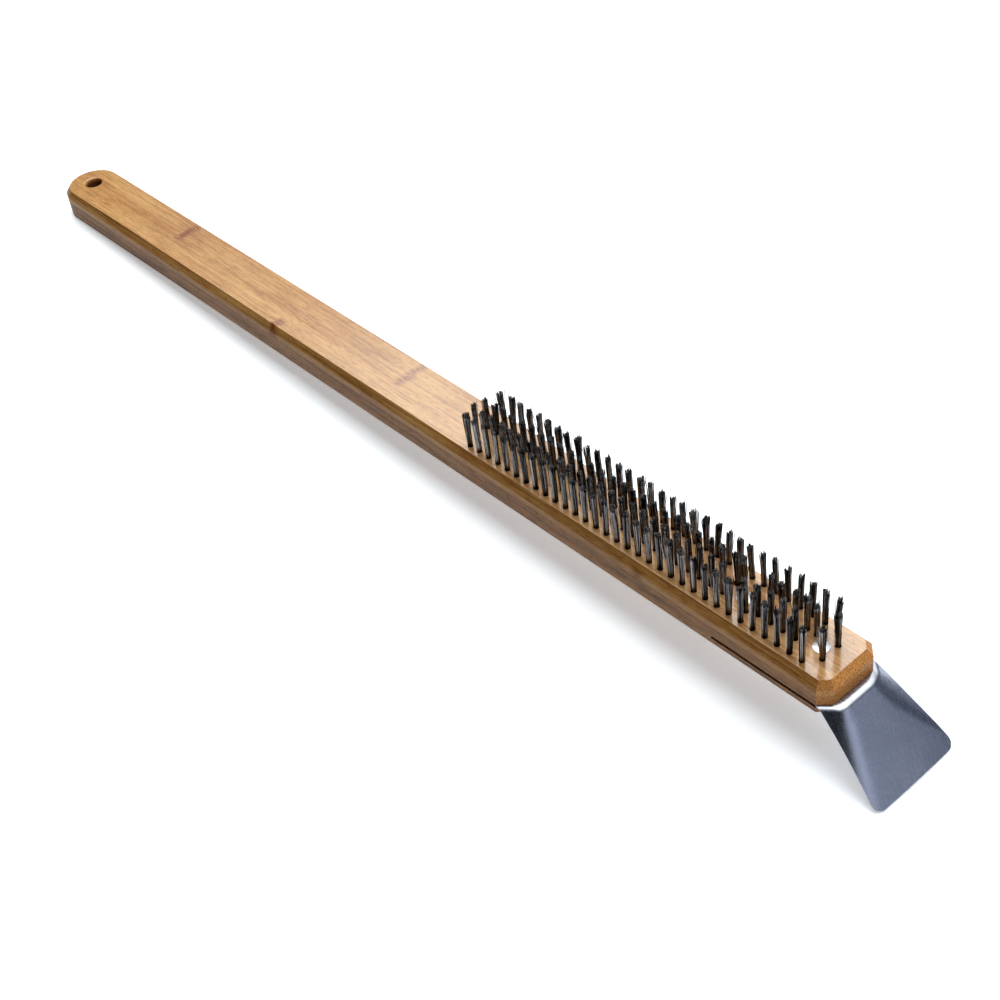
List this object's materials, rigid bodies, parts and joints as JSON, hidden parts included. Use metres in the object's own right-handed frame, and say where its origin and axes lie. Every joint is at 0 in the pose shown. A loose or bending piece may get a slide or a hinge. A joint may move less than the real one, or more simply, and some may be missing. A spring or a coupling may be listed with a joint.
{
  "type": "grill cleaning brush",
  "caption": "Long bamboo grill brush with staggered rows of steel wire tufts on one face, a bent flared steel scraper riveted into the head and a hanging hole in the round tail.",
  "frame": {"origin": "centre of the hanging hole, half way through the wood's thickness", "axes": "+X along the handle to the scraper, +Z out of the bristle side, +Y to the left when looking along +X"},
  "size_m": [0.6964, 0.053, 0.0686],
  "materials": {
    "bamboo_face": "satin",
    "bamboo_core": "satin",
    "bamboo_back": "satin",
    "blade_steel": "satin",
    "bristle_steel": "satin",
    "rivet_metal": "satin",
    "anchor_steel": "satin"
  },
  "bodies": {
    "root": {"back_ply_left_strip": "bamboo_back", "back_ply_right_strip": "bamboo_back", "core_ply_left_strip": "bamboo_core", "core_ply_right_strip": "bamboo_core", "end_pair_tuft_anchors": "anchor_steel", "end_pair_tufts": "bristle_steel", "face_ply_left_strip": "bamboo_face", "face_ply_right_strip": "bamboo_face", "front_rivet": "rivet_metal", "front_rivet_washer": "rivet_metal", "left_inner_tuft_anchors": "anchor_steel", "left_inner_tufts_1": "bristle_steel", "left_inner_tufts_2": "bristle_steel", "left_inner_tufts_3": "bristle_steel", "left_inner_tufts_4": "bristle_steel", "left_outer_tuft_anchors": "anchor_steel", "left_outer_tufts_1": "bristle_steel", "left_outer_tufts_2": "bristle_steel", "left_outer_tufts_3": "bristle_steel", "left_outer_tufts_4": "bristle_steel", "rear_rivet": "rivet_metal", "rear_rivet_washer": "rivet_metal", "right_inner_tuft_anchors": "anchor_steel", "right_inner_tufts_1": "bristle_steel", "right_inner_tufts_2": "bristle_steel", "right_inner_tufts_3": "bristle_steel", "right_inner_tufts_4": "bristle_steel", "right_outer_tuft_anchors": "anchor_steel", "right_outer_tufts_1": "bristle_steel", "right_outer_tufts_2": "bristle_steel", "right_outer_tufts_3": "bristle_steel", "right_outer_tufts_4": "bristle_steel", "scraper_blade": "blade_steel"}
  },
  "joints": []
}
